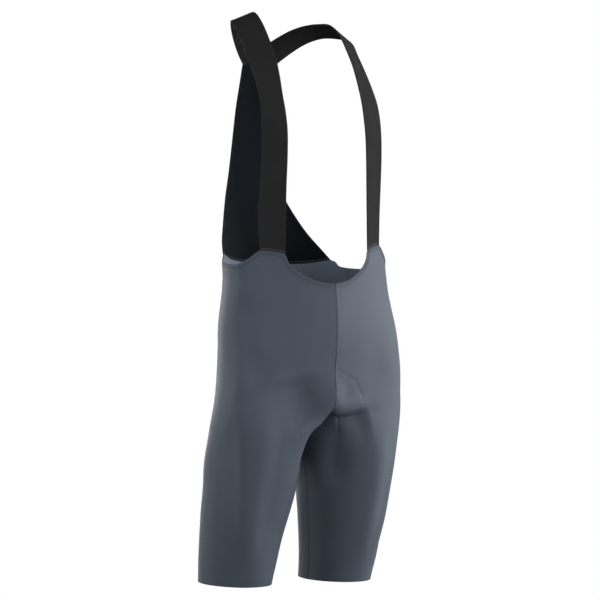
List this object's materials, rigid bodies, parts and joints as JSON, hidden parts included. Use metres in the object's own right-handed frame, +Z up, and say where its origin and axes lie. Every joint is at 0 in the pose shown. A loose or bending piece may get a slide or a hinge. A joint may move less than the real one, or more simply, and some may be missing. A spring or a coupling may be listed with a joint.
{
  "type": "cycling bib shorts",
  "caption": "Cycling bib shorts held open as worn: slate stretch shorts with a seat pad, a black back panel and two elastic shoulder straps.",
  "frame": {"origin": "midway between the undersides of the two shoulder straps, where they cross the wearer's shoulders", "axes": "+Z up along the wearer, the front faces -Y, the wearer's left is +X"},
  "size_m": [0.3154, 0.2308, 0.8721],
  "materials": {
    "slate_knit": "smooth stretch knit with a soft sheen",
    "black_knit": "matt open knit",
    "charcoal_elastic": "matt woven elastic",
    "pad_foam": "brushed knit over foam"
  },
  "bodies": {
    "root": {"front_left": "slate_knit", "front_right": "slate_knit", "back_left": "slate_knit", "back_right": "slate_knit", "back_panel": "black_knit", "strap_left": "charcoal_elastic", "strap_right": "charcoal_elastic", "seat_pad": "pad_foam"}
  },
  "joints": []
}
